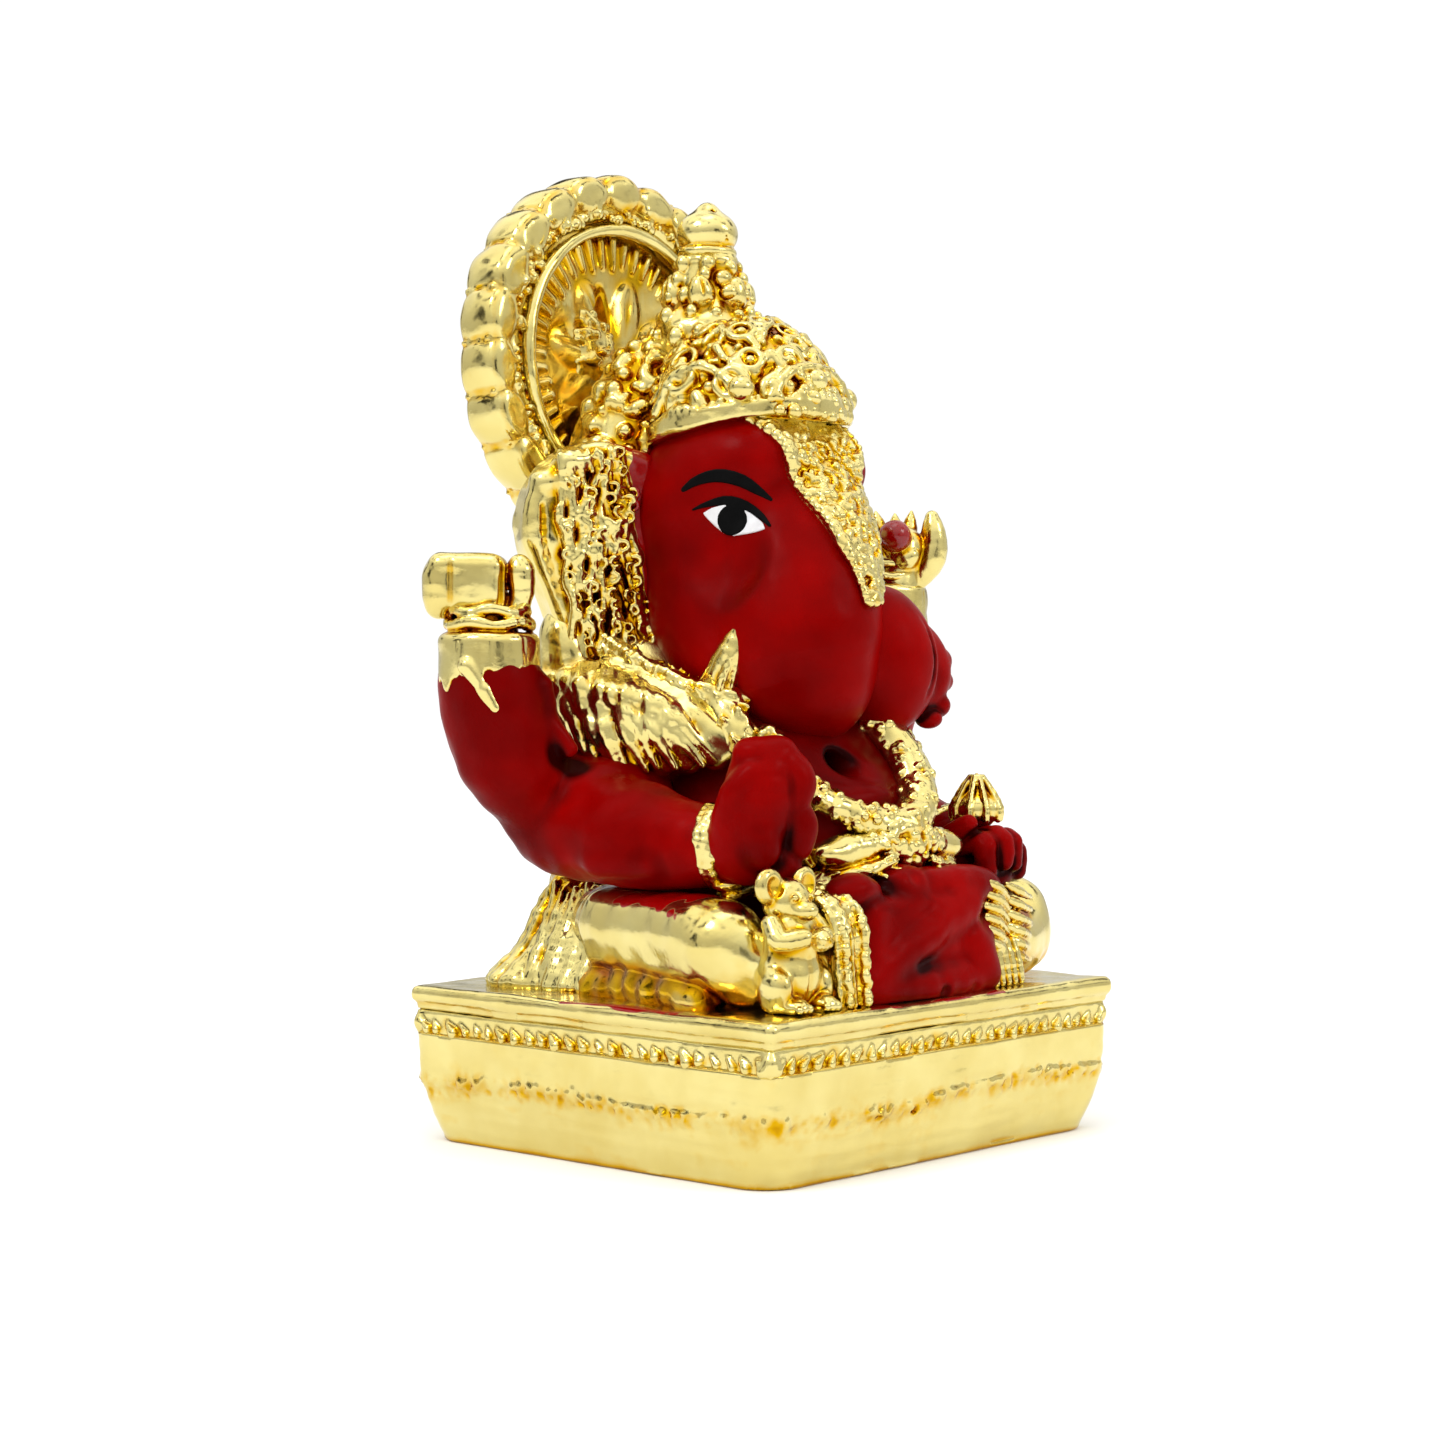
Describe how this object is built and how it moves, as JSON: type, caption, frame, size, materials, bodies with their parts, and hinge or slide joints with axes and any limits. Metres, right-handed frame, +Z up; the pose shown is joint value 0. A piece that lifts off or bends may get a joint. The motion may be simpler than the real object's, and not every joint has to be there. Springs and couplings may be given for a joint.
{
  "type": "ganesha idol",
  "caption": "Small cast figure of a seated elephant-headed deity with halo, crown and mouse on a square plinth, gold plated with red enamel.",
  "frame": {"origin": "centre of the bounding box at table level, under the plinth", "axes": "+Z up, the idol faces -Y, its own right hand is towards -X"},
  "size_m": [0.035, 0.026, 0.053],
  "materials": {
    "gold_plating": "bright yellow gold plating over a softly cast surface, deeper amber in the recesses",
    "red_enamel": "hand-brushed dark red enamel, semi-gloss",
    "white_enamel": "hand-painted white enamel, gloss",
    "black_enamel": "hand-painted black enamel, gloss"
  },
  "bodies": {
    "root": {"back_drape": "gold_plating", "back_hair": "gold_plating", "collar": "gold_plating", "crown_brow_band": "gold_plating", "crown_buds": "gold_plating", "crown_dome": "gold_plating", "crown_finial": "gold_plating", "crown_gems": "gold_plating", "crown_tier": "gold_plating", "eye_pupils": "black_enamel", "eye_whites": "white_enamel", "eyebrows": "black_enamel", "garland": "gold_plating", "girdle": "gold_plating", "girdle_rosette": "gold_plating", "halo_bead_ring": "gold_plating", "halo_boss": "gold_plating", "halo_disc": "gold_plating", "halo_inner_ring": "gold_plating", "halo_petal_rim": "gold_plating", "head": "red_enamel", "lap_cloth": "red_enamel", "lap_cloth_borders": "gold_plating", "left_ear": "gold_plating", "left_front_arm": "red_enamel", "left_front_bracelet": "gold_plating", "left_front_forearm": "red_enamel", "left_front_hand": "red_enamel", "left_rear_arm": "red_enamel", "left_rear_cuff": "gold_plating", "left_rear_forearm": "red_enamel", "left_rear_hand": "gold_plating", "left_shin": "gold_plating", "left_thigh": "gold_plating", "modak": "gold_plating", "mouse_body": "gold_plating", "mouse_head": "gold_plating", "mouse_sweet": "gold_plating", "plinth_drum": "gold_plating", "plinth_foot": "gold_plating", "plinth_rope_border": "gold_plating", "plinth_slab": "gold_plating", "right_ear": "gold_plating", "right_front_arm": "red_enamel", "right_front_bracelet": "gold_plating", "right_front_forearm": "red_enamel", "right_front_hand": "red_enamel", "right_rear_arm": "red_enamel", "right_rear_cuff": "gold_plating", "right_rear_forearm": "red_enamel", "right_rear_hand": "gold_plating", "right_shin": "gold_plating", "right_thigh": "gold_plating", "shawl": "gold_plating", "torso": "red_enamel", "trunk": "red_enamel", "trunk_ornament": "gold_plating", "tusks": "gold_plating"}
  },
  "joints": []
}
